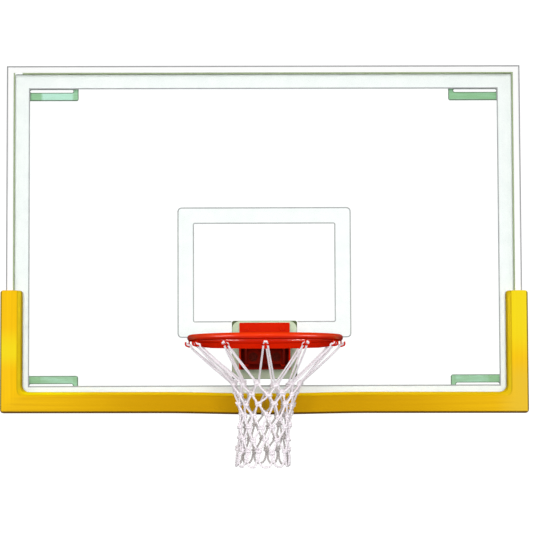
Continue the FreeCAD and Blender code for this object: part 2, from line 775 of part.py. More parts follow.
def make_rim():
    save("ring", Part.makeTorus(ring_r, rod_r, Vector(0, ring_y, ring_z), UP))
    save("ring_brace", ring_brace())
    save("ring_carrier", ring_carrier())
    hook = net_hook()
    save("net_hooks", [around_ring(hook, i) for i in range(hook_count)])
    half_cord = cord_along(net_path(), Vector(1, 0, 0))
    cord = fused([half_cord, half_cord.mirror(Vector(0, 0, 0), Vector(1, 0, 0))])
    save("net", [around_ring(cord, i) for i in range(hook_count)])


os.makedirs("parts", exist_ok=True)
make_frame()
make_glass()
make_pads()
make_rim_mounting()
make_housing()
make_hinge()
make_springs()
make_rim()
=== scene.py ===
import bpy
import bmesh
import math
import random
from mathutils import Matrix, Vector


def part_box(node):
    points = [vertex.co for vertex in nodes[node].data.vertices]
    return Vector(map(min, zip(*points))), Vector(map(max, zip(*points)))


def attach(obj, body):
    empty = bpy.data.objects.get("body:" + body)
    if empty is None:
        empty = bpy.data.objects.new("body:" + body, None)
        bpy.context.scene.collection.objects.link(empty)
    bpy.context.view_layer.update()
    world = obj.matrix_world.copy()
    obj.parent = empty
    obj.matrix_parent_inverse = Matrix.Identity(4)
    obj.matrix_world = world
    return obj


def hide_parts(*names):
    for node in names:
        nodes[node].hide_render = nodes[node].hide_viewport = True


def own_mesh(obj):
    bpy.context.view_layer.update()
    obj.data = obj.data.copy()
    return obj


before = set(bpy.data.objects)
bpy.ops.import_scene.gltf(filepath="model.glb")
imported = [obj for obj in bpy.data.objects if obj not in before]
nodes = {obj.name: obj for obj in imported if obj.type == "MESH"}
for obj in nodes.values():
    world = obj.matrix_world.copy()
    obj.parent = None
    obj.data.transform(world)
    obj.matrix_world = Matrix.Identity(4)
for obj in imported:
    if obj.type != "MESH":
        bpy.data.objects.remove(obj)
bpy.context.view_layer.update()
print("frame loaded:", len(nodes), "nodes")

# Places that several pieces share, read from the frame
boardLow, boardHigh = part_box("frame_rail_bottom")[0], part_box("frame_rail_top")[1]
halfWidth, halfHeight = boardHigh.x, boardHigh.z
ringLow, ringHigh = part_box("ring")
ringCentre = (ringLow + ringHigh) / 2
rodRadius = (ringHigh.z - ringLow.z) / 2
printFront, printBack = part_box("border_print")[0].y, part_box("border_print")[1].y


def linear(red, green, blue):
    # screen colour, 0 to 255, as the shader wants it
    return tuple(c / 12.92 if c <= 0.04045 else ((c + 0.055) / 1.055) ** 2.4
                 for c in (red / 255, green / 255, blue / 255)) + (1.0,)


class Wire:
    # a shader socket that plain sums can use
    def __init__(self, tree, socket=None):
        self.tree = tree
        self.socket = socket

    def add(self, kind, settings=None, sockets=None, out=0):
        node = self.tree.nodes.new(kind)
        for key, value in (settings or {}).items():
            setattr(node, key, value)
        for key, value in (sockets or {}).items():
            if isinstance(value, Wire):
                self.tree.links.new(value.socket, node.inputs[key])
            else:
                node.inputs[key].default_value = value
        return Wire(self.tree, node.outputs[out])

    def maths(self, operation, first, second=0.0):
        return self.add("ShaderNodeMath", {"operation": operation}, {0: first, 1: second})

    def __add__(self, other):
        return self.maths("ADD", self, other)

    def __radd__(self, other):
        return self.maths("ADD", other, self)

    def __sub__(self, other):
        return self.maths("SUBTRACT", self, other)

    def __rsub__(self, other):
        return self.maths("SUBTRACT", other, self)

    def __mul__(self, other):
        return self.maths("MULTIPLY", self, other)

    def __rmul__(self, other):
        return self.maths("MULTIPLY", other, self)

    def __truediv__(self, other):
        return self.maths("DIVIDE", self, other)

    def __abs__(self):
        return self.maths("ABSOLUTE", self)

    def __gt__(self, other):
        return self.maths("GREATER_THAN", self, other)

    def least(self, other):
        return self.maths("MINIMUM", self, other)

    def most(self, other):
        return self.maths("MAXIMUM", self, other)

    def step(self, low, high):
        # soft step: 0 below low, 1 above high
        return self.add("ShaderNodeMapRange", {"interpolation_type": "SMOOTHSTEP"},
                        {"Value": self, "From Min": low, "From Max": high})

    def mix(self, first, second):
        # self picks between two colours
        return self.add("ShaderNodeMix", {"data_type": "RGBA"}, {0: self, 6: first, 7: second}, out=2)

    def feed(self, node, name):
        self.tree.links.new(self.socket, node.inputs[name])


class Finish:
    # one material: its Principled shader, its Object coordinates and the usual patterns
    def __init__(self, name, **fixed):
        self.material = bpy.data.materials.new(name)
        self.material.use_nodes = True
        self.tree = self.material.node_tree
        self.shader = self.tree.nodes["Principled BSDF"]
        for key, value in fixed.items():
            self.shader.inputs[key.replace("_", " ")].default_value = value
        self.wire = Wire(self.tree)
        self.place = self.wire.add("ShaderNodeTexCoord", out="Object")
        split = self.wire.add("ShaderNodeSeparateXYZ", None, {0: self.place}).socket.node
        self.x, self.y, self.z = [Wire(self.tree, out) for out in split.outputs]

    def noise(self, scale, stretch=(1, 1, 1), detail=3.0, rough=0.55):
        spot = self.wire.add("ShaderNodeMapping", None, {"Vector": self.place, "Scale": stretch})
        return self.wire.add("ShaderNodeTexNoise", None, {"Vector": spot, "Scale": scale, "Detail": detail,
                                                          "Roughness": rough})

    def colour(self, wire):
        wire.feed(self.shader, "Base Color")

    def rough(self, wire):
        wire.feed(self.shader, "Roughness")

    def vary(self, low, spread, scale, detail=3.0):
        # roughness in clouds of that scale, from low upward
        self.rough(low + self.noise(scale, detail=detail) * spread)

    def bump(self, height, strength, distance):
        self.wire.add("ShaderNodeBump", None, {"Height": height, "Strength": strength,
                                               "Distance": distance}).feed(self.shader, "Normal")

    def grain(self, scale, strength, distance):
        self.bump(self.noise(scale, detail=1.0), strength, distance)


def paint(finish, *names):
    for name in names:
        nodes[name].data.materials.clear()
        nodes[name].data.materials.append(finish.material)


# Rim: thick red powder coat, slightly pebbled; painted light on top of the hoop's rod, painted shade under it
# and inside the box below
redPaint = {"base": linear(214, 33, 4), "deep": linear(202, 26, 3), "shined": linear(240, 57, 10),
            "recessShade": linear(98, 14, 5), "underShade": linear(150, 16, 3),
            "grain": {"scale": 520.0, "strength": 0.12, "distance": 0.0006}}

# Painted light and shade on the hoop's rod, and the band its coat covers; spans of height are shares of the
# rod's radius, from its middle
rimLightShadeAndCoat = {"shine": (-0.5, 0.1), "shineShare": 0.9, "frontHalf": 0.06, "underShadeFoot": (-1.12, -1.02),
           "underShadeTop": (-0.98, -0.6), "underShadeShare": 0.8, "wipeFoot": (-0.75, -0.4), "wipeTop": (0.3, 0.6)}


def redClouds(finish, scale):
    cloud = finish.noise(scale, detail=2.0).step(0.35, 0.75)
    return cloud.mix(redPaint["base"], redPaint["deep"])


def makeRimRed(name, coat):
    # painted light: brighter orange on top of the rod's near half; painted shade: dark red along its
    # underside
    finish = Finish(name, Specular_IOR_Level=0.0, Coat_Roughness=0.2)
    above = finish.z - ringCentre.z

    def over(span):
        return above.step(span[0] * rodRadius, span[1] * rodRadius)

    front = (ringCentre.y - finish.y).step(-rimLightShadeAndCoat["frontHalf"], rimLightShadeAndCoat["frontHalf"])
    # painted light on top of the rod, near half only
    shined = over(rimLightShadeAndCoat["shine"]) * front * rimLightShadeAndCoat["shineShare"]
    tone = shined.mix(redClouds(finish, scale=9.0), redPaint["shined"])
    # painted shade along the rod's underside
    under = over(rimLightShadeAndCoat["underShadeFoot"]) * (1.0 - over(rimLightShadeAndCoat["underShadeTop"]))
    finish.colour((under * rimLightShadeAndCoat["underShadeShare"]).mix(tone, redPaint["underShade"]))
    wiped = over(rimLightShadeAndCoat["wipeFoot"]) * (1.0 - over(rimLightShadeAndCoat["wipeTop"]))
    (wiped * coat).feed(finish.shader, "Coat Weight")
    finish.vary(low=0.24, spread=0.16, scale=34.0)
    finish.grain(**redPaint["grain"])
    return finish


# Painted shade in dark red inside the open box below the hoop; the last two say how far forward on each piece
boxShade = {"across": (-0.0832, -0.0826), "back": (0.0485, 0.0495), "low": (0.372, 0.392),
             "frontSoft": 0.0005, "least": 0.85, "spread": 0.15, "housingTo": 0.1372, "carrierTo": 0.1800}


def makeHousingRed(name, darkTo):
    finish = Finish(name, Specular_IOR_Level=0.03)
    forward = finish.y * -1.0
    inside = (abs(finish.x) * -1.0).step(*boxShade["across"]) * forward.step(*boxShade["back"])
    inside = inside * (1.0 - forward.step(darkTo - boxShade["frontSoft"], darkTo))
    low = (finish.z * -1.0).step(*boxShade["low"])
    share = boxShade["least"] + finish.noise(scale=30.0) * boxShade["spread"]
    # painted shade: dark red inside the box, low down
    finish.colour((inside * low * share).mix(redClouds(finish, scale=11.0), redPaint["recessShade"]))
    finish.vary(low=0.3, spread=0.2, scale=40.0)
    finish.grain(**redPaint["grain"])
    return finish


# Plain finishes: two tones in clouds; the gloss follows the clouds unless wear gives it a scale of its own
zincTones = {"light": linear(212, 213, 210), "dark": linear(172, 172, 164), "scale": 140.0, "detail": 4.0,
             "span": (0.3, 0.75)}
plainLooks = {
    "zinc": {**zincTones, "low": 0.3, "spread": 0.25, "relief": 0.1, "Metallic": 0.6},
    # steel inside the box below the hoop: dark red-brown, painted shade
    "shadedSteel": {"light": linear(92, 22, 12), "dark": linear(66, 16, 10), "scale": 180.0,
                    "low": 0.42, "spread": 0.2, "relief": 0.1, "Specular_IOR_Level": 0.05},
    "springSteel": {"light": linear(120, 121, 124), "dark": linear(80, 78, 78), "scale": 260.0,
                    "low": 0.28, "spread": 0.25, "Metallic": 0.85},
    "bronze": {"light": linear(196, 160, 96), "dark": linear(160, 122, 70), "scale": 200.0,
               "stretch": (4, 1, 1), "low": 0.25, "spread": 0.25, "Metallic": 0.9},
    "backingGreen": {"light": linear(88, 100, 66), "dark": linear(70, 82, 52), "scale": 40.0,
                     "low": 0.38, "spread": 0.2, "wear": 120.0, "Specular_IOR_Level": 0.1,
                     "grain": {"scale": 600.0, "strength": 0.12, "distance": 0.0005}},
    "whiteNylon": {"light": linear(236, 236, 230), "dark": linear(222, 222, 214), "scale": 120.0,
                   "low": 0.45, "spread": 0.15, "wear": 90.0},
    "blackRubber": {"light": linear(44, 44, 44), "dark": linear(30, 30, 30), "scale": 150.0,
                    "low": 0.6, "spread": 0.2, "wear": 220.0,
                    "grain": {"scale": 700.0, "strength": 0.2, "distance": 0.0004}}}


def makePlain(name, light, dark, scale, low, spread, span=(0.3, 0.7), stretch=(1, 1, 1), detail=3.0,
              wear=None, relief=None, grain=None, **fixed):
    finish = Finish(name, **fixed)
    cloud = finish.noise(scale, stretch, detail)
    finish.colour(cloud.step(*span).mix(light, dark))
    finish.rough(low + (finish.noise(wear) if wear else cloud) * spread)
    if relief:
        finish.bump(cloud, strength=relief, distance=0.0004)
    if grain:
        finish.grain(**grain)
    return finish


# Bolts: heads painted with the plate, shanks and threads left zinc
boltLook = {"headFrom": (0.0490, 0.0496), "metal": 0.6, "low": 0.28, "spread": 0.22, "pitch": 0.0015,
            "threadStrength": 0.5, "threadDepth": 0.0005}


def makeBoltFinish():
    finish = Finish("boltFinish", Specular_IOR_Level=0.04)
    head = (finish.y * -1.0).step(*boltLook["headFrom"])
    cloud = finish.noise(zincTones["scale"], detail=zincTones["detail"])
    bareAndEdgeShade = cloud.step(*zincTones["span"]).mix(zincTones["light"], zincTones["dark"])
    finish.colour(head.mix(bareAndEdgeShade, redPaint["base"]))
    (boltLook["metal"] - head * boltLook["metal"]).feed(finish.shader, "Metallic")
    finish.rough(boltLook["low"] + cloud * boltLook["spread"])
    thread = finish.wire.maths("SINE", finish.y * (2 * math.pi / boltLook["pitch"])) * (1.0 - head)
    finish.bump(thread, boltLook["threadStrength"], boltLook["threadDepth"])
    return finish


# Frame: satin white aluminium with brushed lines along each rail; painted shade in grey along the outer edge
# of its face
frameLook = {"white": linear(254, 254, 253), "shade": linear(247, 248, 247), "edge": linear(158, 159, 160),
             "edgeWidth": 0.0052, "edgeSoft": 0.15, "edgeDepth": (0.003, 0.005), "streakScale": 60.0,
             "streakAlong": 0.04, "streakAcross": 14.0}


def alongSide(finish):
    # 1 on the upright runs, 0 on the level ones, split at the mitre
    return (halfHeight - abs(finish.z)) - (halfWidth - abs(finish.x)) > 0.0


def makeFrameWhite():
    finish = Finish("frameWhite", Coat_Weight=0.15, Coat_Roughness=0.25)
    f = frameLook
    upright = alongSide(finish)
    along, across = f["streakAlong"], f["streakAcross"]
    streakLevel = finish.noise(f["streakScale"], (along, across, across), detail=4.0)
    streakUpright = finish.noise(f["streakScale"], (across, across, along), detail=4.0)
    streak = streakLevel * (1.0 - upright) + streakUpright * upright
    fromEdge = (halfWidth - abs(finish.x)).least(halfHeight - abs(finish.z))
    # painted shade: a grey band along the outer edge of the front face
    bareAndEdgeShade = 1.0 - fromEdge.step(f["edgeWidth"] * (1 - f["edgeSoft"]), f["edgeWidth"] * (1 + f["edgeSoft"]))
    bareAndEdgeShade = bareAndEdgeShade * (1.0 - finish.y.step(*[boardLow.y + depth for depth in f["edgeDepth"]]))
    tone = streak.step(0.3, 0.7).mix(f["white"], f["shade"])
    finish.colour(bareAndEdgeShade.mix(tone, f["edge"]))
    finish.rough(0.34 + streak * 0.2)
    finish.bump(streak, strength=0.08, distance=0.0004)
    return finish


# Glazing seal: sage green rubber, bleached along a short stretch at the top left
sealLook = {"base": linear(160, 176, 140), "deep": linear(150, 164, 128), "bleached": linear(243, 248, 245),
            "bleachFrom": (0.0285, 0.0300), "bleachTo": (0.054, 0.058), "bleachDown": (0.034, 0.036)}


def makeSealSage():
    finish = Finish("sealSage", Specular_IOR_Level=0.1)
    tone = finish.noise(scale=180.0).step(0.35, 0.65).mix(sealLook["base"], sealLook["deep"])
    fromLeft, fromTop = finish.x + halfWidth, halfHeight - finish.z
    bleached = fromLeft.step(*sealLook["bleachFrom"]) * (1.0 - fromLeft.step(*sealLook["bleachTo"]))
    bleached = bleached * (1.0 - fromTop.step(*sealLook["bleachDown"]))
    finish.colour(bleached.mix(tone, sealLook["bleached"]))
    finish.vary(low=0.55, spread=0.2, scale=90.0)
    finish.grain(scale=900.0, strength=0.15, distance=0.0004)
    return finish


# Pad behind the glass: paler sage rubber with a stippled face
stippleLook = {"light": linear(212, 224, 198), "shade": linear(199, 212, 182), "spot": linear(176, 190, 156),
               "spotShare": 0.35}


def makePadSage():
    finish = Finish("padSage", Specular_IOR_Level=0.1)
    stipple = finish.noise(scale=380.0, detail=2.0).step(0.42, 0.62)
    cloud = finish.noise(scale=24.0, detail=2.0).step(0.35, 0.7)
    tone = cloud.mix(stippleLook["light"], stippleLook["shade"])
    finish.colour((stipple * stippleLook["spotShare"]).mix(tone, stippleLook["spot"]))
    finish.rough(0.6 + stipple * 0.15)
    finish.bump(stipple, strength=0.35, distance=0.0006)
    return finish


# Corner brackets: pale green paint, darker along their edges and round the slot
bracketLook = {"pale": linear(194, 236, 218), "leaf": linear(146, 194, 148), "worn": linear(146, 182, 142),
               "edge": linear(104, 122, 104), "edgeWidth": 0.0036, "edgeFrom": 0.6, "edgeShare": 0.9,
               "slotX": 0.7612, "slotZ": 0.5286, "slotHalf": 0.078, "slotRadius": 0.0055,
               "outer": (0.790, 0.802), "outerShare": 0.85, "inner": (0.680, 0.690), "innerShare": 0.7,
               "halves": (-0.1, 0.1), "rightShare": 0.85, "lower": (0.77, 0.83), "lowerLeast": 0.35,
               "lowerSpread": 0.5, "cloudShare": 0.2, "wornShare": 0.3}


def makeBracketGreen():
    finish = Finish("bracketGreen", Specular_IOR_Level=0.06)
    b = bracketLook
    across, up = abs(finish.x), abs(finish.z)
    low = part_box("corner_bracket_top_right")[0]
    rim = (across - low.x).least(up - low.z)
    past = (abs(across - b["slotX"]) - (b["slotHalf"] - b["slotRadius"])).most(0.0)
    rise = up - b["slotZ"]
    gap = finish.wire.maths("SQRT", past * past + rise * rise) - b["slotRadius"]
    near = 1.0 - rim.least(gap).step(b["edgeWidth"] * b["edgeFrom"], b["edgeWidth"])
    cloud = finish.noise(scale=30.0, stretch=(0.4, 1, 3.0)).step(0.35, 0.65)
    upper, right = finish.z.step(*b["halves"]), finish.x.step(*b["halves"])
    # leaf green at the ends of the slot, all over the top right one, and in part on the lower two
    outer, inner = across.step(*b["outer"]), 1.0 - across.step(*b["inner"])
    ends = (outer * b["outerShare"]).most(inner * b["innerShare"])
    lower = (1.0 - upper) * (b["lowerLeast"] + across.step(*b["lower"]) * b["lowerSpread"])
    leafy = ends.most(right * upper * b["rightShare"]).most(lower)
    tone = (leafy + cloud * b["cloudShare"]).mix(b["pale"], b["leaf"])
    tone = ((1.0 - upper) * (b["wornShare"] + cloud * b["wornShare"])).mix(tone, b["worn"])
    finish.colour((near * b["edgeShare"]).mix(tone, b["edge"]))
    finish.vary(low=0.36, spread=0.18, scale=80.0)
    finish.grain(scale=480.0, strength=0.1, distance=0.0005)
    return finish


# Lines fired on the rear of the glass: white enamel with a grey keyline
enamelLook = {"whiteEnamel": {"light": linear(250, 253, 252), "shade": linear(246, 250, 249)},
              "keyGrey": {"light": linear(172, 173, 174), "shade": linear(164, 165, 167)}}


def makeEnamel(name):
    finish = Finish(name, Coat_Weight=0.4, Coat_Roughness=0.08)
    cloud = finish.noise(scale=18.0, detail=2.0).step(0.35, 0.7)
    finish.colour(cloud.mix(enamelLook[name]["light"], enamelLook[name]["shade"]))
    finish.vary(low=0.2, spread=0.12, scale=400.0, detail=1.0)
    return finish


# Clear tempered glass, a little green, with a surface gloss
glassLook = {"tint": (0.990, 0.997, 0.993, 1.0), "gloss": (0.96, 0.98, 0.97, 1.0), "glossRough": 0.03,
             "blend": 0.06}


def makeGlass():
    finish = Finish("clearGlass")
    tree = finish.tree
    clear = tree.nodes.new("ShaderNodeBsdfTransparent")
    clear.inputs["Color"].default_value = glassLook["tint"]
    gloss = tree.nodes.new("ShaderNodeBsdfGlossy")
    gloss.inputs["Roughness"].default_value = glassLook["glossRough"]
    gloss.inputs["Color"].default_value = glassLook["gloss"]
    share = finish.wire.add("ShaderNodeLayerWeight", None, {"Blend": glassLook["blend"]}, out="Fresnel")
    blend = tree.nodes.new("ShaderNodeMixShader")
    share.feed(blend, 0)
    tree.links.new(clear.outputs[0], blend.inputs[1])
    tree.links.new(gloss.outputs[0], blend.inputs[2])
    tree.links.new(blend.outputs[0], tree.nodes["Material Output"].inputs["Surface"])
    tree.nodes.remove(finish.shader)
    return finish


# The pads hang a little: lower to the right, and lowest where the two meet
padHang = {"left": 0.0006, "right": 0.0062, "bow": 0.0050, "reach": 0.36}

# Moulded yellow urethane: fine flow lines along each run; painted shade in amber low down, painted light in
# lemon on parts of the upright runs
padLook = {"sun": linear(250, 198, 10), "gold": linear(234, 180, 4), "amber": linear(202, 150, 3),
           "lemon": linear(242, 222, 26), "bright": linear(253, 230, 5), "glow": linear(238, 196, 8),
           "olive": linear(220, 188, 8), "crease": linear(196, 158, 6), "edge": linear(166, 138, 5),
           "pale": linear(234, 192, 48), "sideShade": linear(120, 96, 20), "footShade": linear(78, 50, 12),
           "mitreSoft": 0.035, "sides": (-0.1, 0.1), "lineScale": 120.0, "lineAlong": 0.012,
           "shineRight": (-0.46, -0.34), "shineLeft": (-0.48, -0.41), "shineLeftTop": (-0.40, -0.31),
           "amberOut": (0.3, 0.9), "paleOut": (0.80, 0.90), "paleTop": (-0.52, -0.42),
           "brightTo": (-0.74, -0.56), "turn": 0.042, "glowFrom": 0.0475, "glowTo": 0.0540,
           "creaseIn": 0.0450, "creaseWidth": 0.0026, "edgeIn": 0.0552, "lineSoft": 0.0006,
           "rimDepth": 0.014, "sideShadeFrom": (0.0082, 0.0107), "footShadeFrom": (0.0050, 0.0095), "outlineShadeShare": 0.95}


def makePadYellow():
    finish = Finish("padYellow", Specular_IOR_Level=0.03)
    p = padLook
    tilt = (padHang["right"] - padHang["left"]) / (2 * halfWidth)
    hang = padHang["left"] + (finish.x + halfWidth) * tilt
    hang = hang + (1.0 - abs(finish.x).step(0.0, padHang["reach"])) * padHang["bow"]
    inX, inZ = halfWidth - abs(finish.x), finish.z + hang + halfHeight
    upright = (inZ - inX).step(-p["mitreSoft"], p["mitreSoft"])
    lineLevel = finish.noise(p["lineScale"], (p["lineAlong"], 1.0, 1.0), detail=5.0, rough=0.65)
    lineUpright = finish.noise(p["lineScale"], (1.0, 1.0, p["lineAlong"]), detail=5.0, rough=0.65)
    line = lineLevel * (1.0 - upright) + lineUpright * upright
    cloud = finish.noise(scale=3.2, stretch=(1, 1, 1.6), detail=2.0)
    tone = (line.step(0.35, 0.68) * 0.6).mix(p["sun"], p["gold"])
    # painted light: lemon on the upright runs, high on the right and in a band on the left
    onRight = finish.x.step(*p["sides"])
    shineRight = finish.z.step(*p["shineRight"]) * onRight
    shineLeft = finish.z.step(*p["shineLeft"]) * (1.0 - finish.z.step(*p["shineLeftTop"])) * (1.0 - onRight)
    tone = ((shineRight + shineLeft) * upright * (0.55 + cloud * 0.5)).mix(tone, p["lemon"])
    # painted shade: amber on the level run along the bottom, less towards its ends
    low = (1.0 - upright) * (1.0 - abs(finish.x).step(*p["amberOut"]) * 0.75) * (0.8 + cloud * 0.3)
    tone = low.mix(tone, p["amber"])
    tone = (line.step(0.45, 0.75) * 0.3 * (1.0 - upright)).mix(tone, p["amber"])
    pale = onRight * abs(finish.x).step(*p["paleOut"]) * (1.0 - finish.z.step(*p["paleTop"]))
    tone = (pale * 0.85).mix(tone, p["pale"])
    # the sloped inner edge: painted light where it looks up, brightest towards the left end, and painted
    # shade in olive where it looks sideways, with darker painted-shade lines at its crease and outer edge
    inward = finish.wire.add("ShaderNodeMath", {"operation": "SMOOTH_MIN"}, {0: inX, 1: inZ, 2: p["turn"]})
    onLeft = 1.0 - finish.x.step(*p["brightTo"])
    lit = inward.step(p["glowFrom"], p["glowTo"]) * (1.0 - upright)
    tone = lit.mix(tone, onLeft.mix(p["glow"], p["bright"]))
    slope = inward.step(p["creaseIn"] - p["lineSoft"], p["creaseIn"] + p["lineSoft"]) * upright
    tone = slope.mix(tone, p["olive"])
    crease = 1.0 - (abs(inward - p["creaseIn"]) / p["creaseWidth"]).step(0.4, 1.0)
    tone = (crease * upright * 0.7).mix(tone, p["crease"])
    edge = inward.step(p["edgeIn"] - p["lineSoft"], p["edgeIn"] + p["lineSoft"]) * upright
    tone = edge.mix(tone, p["edge"])
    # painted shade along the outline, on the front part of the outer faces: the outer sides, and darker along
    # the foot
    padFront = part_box("edge_pad_left")[0].y
    outlineShade = (1.0 - finish.y.step(padFront + p["rimDepth"] * 0.6, padFront + p["rimDepth"])) * p["outlineShadeShare"]
    tone = ((inX * -1.0).step(*p["sideShadeFrom"]) * outlineShade).mix(tone, p["sideShade"])
    tone = ((inZ * -1.0).step(*p["footShadeFrom"]) * outlineShade).mix(tone, p["footShade"])
    finish.colour(tone)
    finish.rough(0.40 + line * 0.2)
    finish.bump(line * 0.6 + finish.noise(scale=900.0, detail=1.0) * 0.4, strength=0.16, distance=0.0007)
    return finish


# Net: white twisted nylon, with painted shade in grey low down on its far side
netLook = {"white": linear(253, 246, 251), "fleck": linear(234, 225, 231), "inner": linear(200, 194, 189),
           "farSide": (-0.03, 0.05), "lowDown": (0.50, 0.58), "innerShare": 0.75}


def makeNetCord():
    finish = Finish("netCord", Sheen_Weight=0.25)
    fleck = finish.noise(scale=260.0, detail=3.0).step(0.3, 0.75)
    white = fleck.mix(netLook["white"], netLook["fleck"])
    # painted shade: grey on the net's far side, low down
    inner = (finish.y - ringCentre.y).step(*netLook["farSide"]) * (finish.z * -1.0).step(*netLook["lowDown"])
    finish.colour((inner * netLook["innerShare"]).mix(white, netLook["inner"]))
    finish.rough(0.68 + fleck * 0.15)
    finish.bump(finish.noise(scale=1400.0, detail=2.0), strength=0.25, distance=0.0005)
    return finish


rimRed, braceRed = makeRimRed("rimRed", coat=0.95), makeRimRed("braceRed", coat=0.0)
plain = {name: makePlain(name, **look) for name, look in plainLooks.items()}
enamel, keyGrey = makeEnamel("whiteEnamel"), makeEnamel("keyGrey")
padYellow, netCord = makePadYellow(), makeNetCord()
paint(rimRed, "ring")
paint(braceRed, "ring_brace", "net_hooks")
paint(makeHousingRed("housingRed", boxShade["housingTo"]), "rim_housing")
paint(makeHousingRed("carrierRed", boxShade["carrierTo"]), "ring_carrier")
paint(makeFrameWhite(), "frame_rail_top", "frame_rail_bottom", "frame_rail_left", "frame_rail_right")
paint(makeSealSage(), "glazing_gasket")
paint(makePadSage(), "backing_pad")
paint(plain["backingGreen"], "backing_plate")
paint(makeBracketGreen(), "corner_bracket_top_left", "corner_bracket_top_right", "corner_bracket_bottom_left",
      "corner_bracket_bottom_right")
paint(plain["zinc"], "bracket_screws", "rim_washers", "rim_nuts", "hinge_pin", "pin_washer", "corner_keys")
paint(makeBoltFinish(), "rim_bolts")
paint(plain["shadedSteel"], "spring_rods", "stop_washers", "adjusting_nuts", "spring_seats")
paint(plain["springSteel"], "spring_left", "spring_right", "retaining_ring")
paint(plain["bronze"], "pivot_bushes")
paint(plain["whiteNylon"], "glass_bushings")
paint(plain["blackRubber"], "rim_gasket")
paint(enamel, "border_print", "target_print")
paint(makeGlass(), "glass_panel")
paint(padYellow, "edge_pad_left", "edge_pad_right")
paint(netCord, "net")
print("materials made:", len(bpy.data.materials))


def makePiece(name, bm, body, finish, sharp=40.0):
    bmesh.ops.remove_doubles(bm, verts=bm.verts, dist=1e-6)
    bmesh.ops.recalc_face_normals(bm, faces=bm.faces)
    mesh = bpy.data.meshes.new(name)
    bm.to_mesh(mesh)
    bm.free()
    mesh.shade_smooth()
    mesh.set_sharp_from_angle(angle=math.radians(sharp))
    piece = bpy.data.objects.new(name, mesh)
    bpy.context.scene.collection.objects.link(piece)
    mesh.materials.append(finish.material)
    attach(piece, body)
    return piece


def newVerts(grown):
    return [v for v in grown["geom"] if isinstance(v, bmesh.types.BMVert)]


def newFace(grown):
    return next(f for f in grown["geom"] if isinstance(f, bmesh.types.BMFace))


def bevelEdges(bm, edges, offset, segments):
    bmesh.ops.bevel(bm, geom=edges, offset=offset, segments=segments, profile=0.5, affect="EDGES",
                    material=-1, clamp_overlap=True)
    bm.normal_update()


# Keylines beside the fired lines
keyline = {"borderInset": 0.0753, "borderWidth": 0.0046, "targetWidth": 0.6096, "targetHeight": 0.4572,
           "line": 0.0508, "width": 0.0042, "outerRadius": 0.011, "innerRadius": 0.007, "segments": 8,
           "notchGap": 0.001}


def keyBand(bm, centre, width, height, radius, thick):
    # a rounded rectangle with its middle taken out; the band grows inward by thick
    half = Vector((width / 2, 0, height / 2))
    corners = [bm.verts.new((centre.x + sx * half.x, printFront, centre.z + sz * half.z))
               for sx, sz in ((-1, -1), (1, -1), (1, 1), (-1, 1))]
    bm.faces.new(corners)
    if radius:
        bmesh.ops.bevel(bm, geom=corners, offset=radius, segments=keyline["segments"], profile=0.5,
                        affect="VERTICES", material=-1)
    bm.normal_update()
    face = max(bm.faces, key=lambda f: f.calc_area())
    bmesh.ops.inset_region(bm, faces=[face], thickness=thick, use_even_offset=True, use_boundary=True)
    bmesh.ops.delete(bm, geom=[face], context="FACES")


def makeBand(name, bm):
    # the flat bands, drawn back through the fired layer
    grown = bmesh.ops.extrude_face_region(bm, geom=bm.faces[:])
    bmesh.ops.translate(bm, verts=newVerts(grown), vec=(0, printBack - printFront, 0))
    makePiece(name, bm, "board", keyGrey)


def makeKeylines():
    k = keyline
    bm = bmesh.new()
    width, height = 2 * (halfWidth - k["borderInset"]), 2 * (halfHeight - k["borderInset"])
    keyBand(bm, Vector((0, 0, 0)), width, height, radius=0, thick=k["borderWidth"])
    makeBand("borderKeyline", bm)

    low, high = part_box("target_print")
    centre = (low + high) / 2
    bm = bmesh.new()
    thick, line = k["width"], k["line"]
    width, height = k["targetWidth"], k["targetHeight"]
    keyBand(bm, centre, width + 2 * thick, height + 2 * thick, k["outerRadius"] + thick, thick)
    keyBand(bm, centre, width - 2 * line, height - 2 * line, k["innerRadius"], thick)
    # no line where the backing plate covers it
    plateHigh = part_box("backing_plate")[1]
    reach, top = plateHigh.x + k["notchGap"], plateHigh.z + k["notchGap"]
    for side in (-1, 1):
        bmesh.ops.bisect_plane(bm, geom=bm.verts[:] + bm.edges[:] + bm.faces[:],
                               plane_co=(side * reach, 0, 0), plane_no=(1, 0, 0))
    middles = [(f, f.calc_center_median()) for f in bm.faces]
    behind = [f for f, middle in middles if abs(middle.x) < reach and middle.z < top]
    bmesh.ops.delete(bm, geom=behind, context="FACES")
    makeBand("targetKeyline", bm)


makeKeylines()
print("keylines made")

# Edge pads: one moulded channel each, turned round the lower corner in one piece
padShape = {"edge": 0.0143, "gap": 0.0003, "frontBack": -0.0443, "cover": 0.060, "rearCover": 0.0245,
            "rearFront": 0.0003, "chamfer": 0.0150, "chamferDepth": 0.0140, "chamferClear": 0.001,
            "seamClear": 0.002, "hair": 1e-5, "bowCuts": 8}

# Their rounded edges: offset and segments
padRounds = {"seam": (0.0015, 2), "inner": (0.024, 8), "corner": (0.013, 6), "top": (0.010, 5),
             "chamfer": (0.0022, 3), "front": (0.0075, 5), "rear": (0.005, 3), "end": (0.0018, 2)}


def padProfile(low, high):
    # inward distance from the board's edge, and depth
    p = padShape
    return [(-p["edge"], low.y), (p["cover"] - p["chamfer"], low.y), (p["cover"], low.y + p["chamferDepth"]),
            (p["cover"], p["frontBack"]), (-p["gap"], p["frontBack"]), (-p["gap"], p["rearFront"]),
            (p["rearCover"], p["rearFront"]), (p["rearCover"], high.y), (-p["edge"], high.y)]


def hangPad(bm):
    h = padHang
    for v in bm.verts:
        share = min(1.0, abs(v.co.x) / h["reach"])
        bow = h["bow"] * (1 - share * share * (3 - 2 * share))
        v.co.z -= h["left"] + (h["right"] - h["left"]) * (v.co.x + halfWidth) / (2 * halfWidth) + bow


